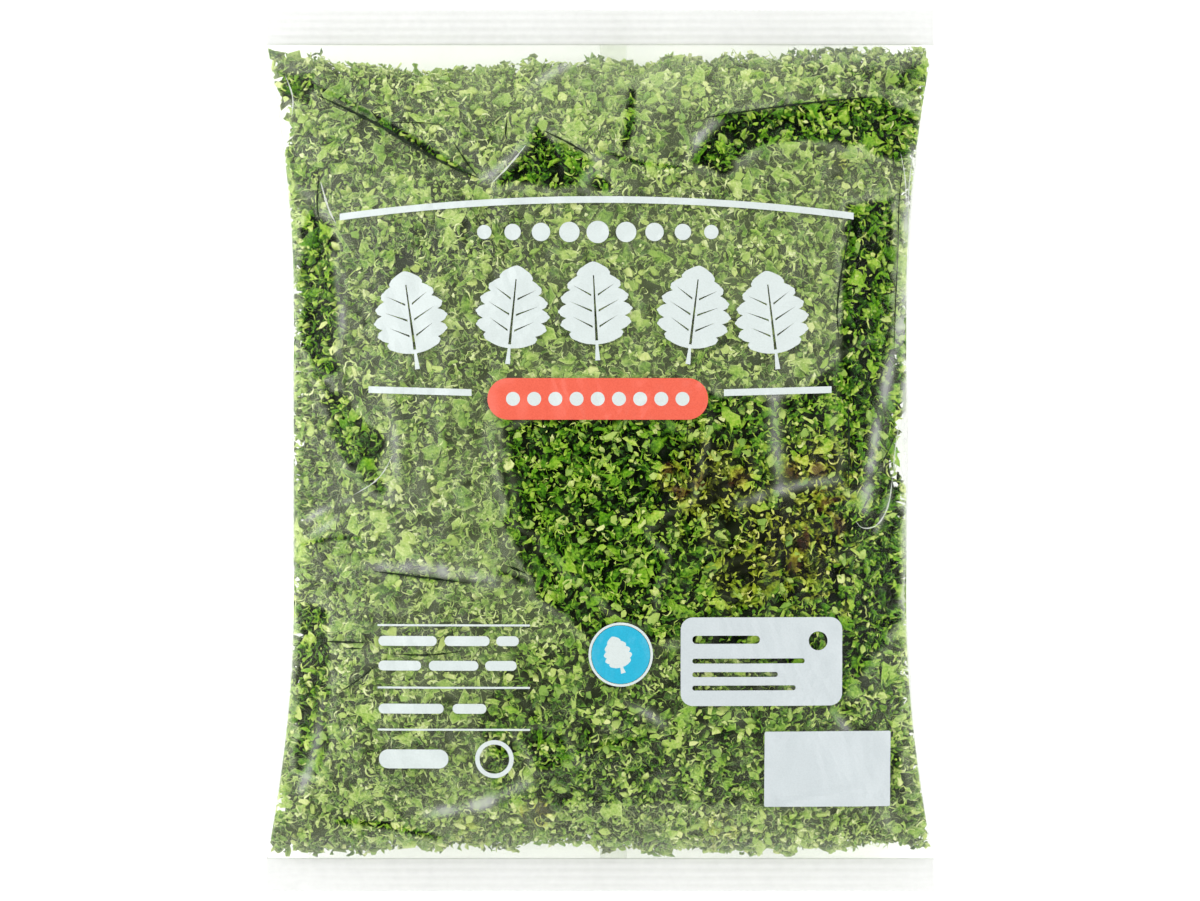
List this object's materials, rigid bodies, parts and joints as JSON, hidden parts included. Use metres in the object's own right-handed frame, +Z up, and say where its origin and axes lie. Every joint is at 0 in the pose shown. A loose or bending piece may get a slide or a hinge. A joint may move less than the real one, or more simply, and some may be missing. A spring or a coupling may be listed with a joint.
{
  "type": "bag of finely cut kale",
  "caption": "Clear pillow bag of finely cut curly kale, welded flat at both ends with a fin seal down the back, lying on its back.",
  "frame": {"origin": "on the surface that the bag lies on, under the middle of its length and width", "axes": "+X across the bag to the right seen from the front, +Y along the bag towards the top seal, +Z up out of the bag's front"},
  "size_m": [0.3, 0.3964, 0.062],
  "materials": {
    "film": "clear oriented polypropylene film, crisp folds, hazy where it stands off the kale, crimped white-grey at the welds",
    "kale": null,
    "kale_stem": null,
    "print_white": "opaque white ink printed on the film",
    "print_coral": "opaque coral-red ink printed on the film",
    "print_blue": "opaque sky-blue ink printed on the film"
  },
  "bodies": {
    "root": {"film_bag": "film", "cut_kale": "kale"}
  },
  "joints": []
}
